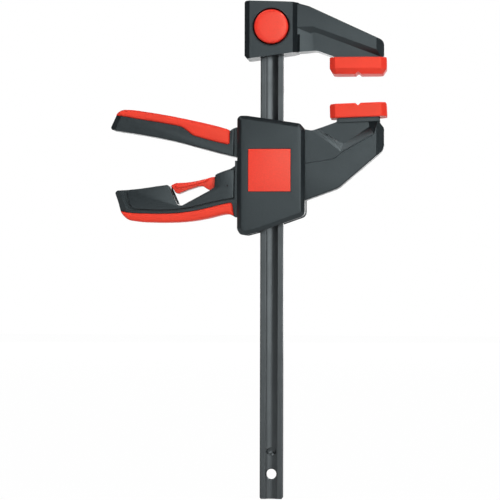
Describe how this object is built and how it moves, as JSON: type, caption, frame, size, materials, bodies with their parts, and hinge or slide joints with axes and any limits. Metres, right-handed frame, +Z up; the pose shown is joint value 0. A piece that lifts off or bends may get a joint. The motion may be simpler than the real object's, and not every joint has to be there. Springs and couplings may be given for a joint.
{
  "type": "quick release bar clamp",
  "caption": "One-handed bar clamp with a fixed jaw, a sliding jaw moved by a squeeze lever, soft jaw pads, a release lever and a push button that frees the head from its bar.",
  "frame": {"origin": "middle of the fixed jaw's clamping face, on the clamp's centre plane", "axes": "+Z up along the bar towards the head, +X from the bar out to the jaw tips, -Y is the front with the button"},
  "size_m": [0.1676, 0.0262, 0.3009],
  "materials": {
    "bar_steel": "satin, blackened",
    "black_plastic": "fine grained",
    "red_plastic": "semi-gloss",
    "red_rubber": "soft matte",
    "zinc_steel": "zinc plated",
    "plate_steel": "hardened, oiled"
  },
  "bodies": {
    "frame": {"bar": "bar_steel", "fixed_jaw": "black_plastic", "fixed_jaw_pad": "red_rubber", "button_collar": "black_plastic", "button_spring": "zinc_steel"},
    "button": {"push_button": "red_plastic", "lock_pin": "zinc_steel", "pin_clip": "zinc_steel"},
    "carriage": {"sliding_jaw": "black_plastic", "sliding_jaw_pad": "red_rubber", "front_cover": "black_plastic", "rear_cover": "black_plastic", "name_plate": "red_plastic", "cover_screws": "zinc_steel", "front_handle_panel": "black_plastic", "rear_handle_panel": "black_plastic", "lower_grip": "red_rubber", "pump_pin": "zinc_steel", "release_pin": "zinc_steel", "drive_spring": "zinc_steel", "brake_spring": "zinc_steel"},
    "squeeze_lever": {"pump_lever": "black_plastic", "upper_grip": "red_rubber"},
    "drive": {"drive_plates": "plate_steel"},
    "trigger": {"release_lever": "red_plastic"},
    "brake": {"brake_plate": "plate_steel"}
  },
  "joints": [
    {"name": "button_press", "type": "slide", "parent": "frame", "child": "button", "axis": [0, 1, 0], "range_m": [0, 0.0039], "stiffness_N_per_m": 800, "springref_m": -0.004, "deforming": ["button_spring"]},
    {"name": "jaw_slide", "type": "slide", "parent": "frame", "child": "carriage", "axis": [0, 0, -1], "range_m": [-0.0168, 0.1325]},
    {"name": "squeeze", "type": "hinge", "parent": "carriage", "child": "squeeze_lever", "pos_m": [-0.0652, 0, -0.0407], "axis": [0, -1, 0], "range_deg": [0, 15], "stiffness_Nm_per_rad": 0.3, "springref_deg": -11.46},
    {"name": "drive_stroke", "type": "slide", "parent": "carriage", "child": "drive", "axis": [0, 0, -1], "range_m": [0, 0.0016], "deforming": ["drive_spring"]},
    {"name": "trigger_press", "type": "hinge", "parent": "carriage", "child": "trigger", "pos_m": [-0.0788, 0, -0.0669], "axis": [0, -1, 0], "range_deg": [0, 11], "stiffness_Nm_per_rad": 0.2, "springref_deg": -14.32},
    {"name": "brake_tilt", "type": "hinge", "parent": "carriage", "child": "brake", "pos_m": [-0.0402, 0, -0.07227], "axis": [0, -1, 0], "range_deg": [0, 1.5], "deforming": ["brake_spring"]}
  ],
  "couplings": [
    {"joint": "drive_stroke", "follows": "squeeze", "m_per_rad": 0.006},
    {"joint": "brake_tilt", "follows": "trigger_press", "ratio": 0.13636}
  ]
}
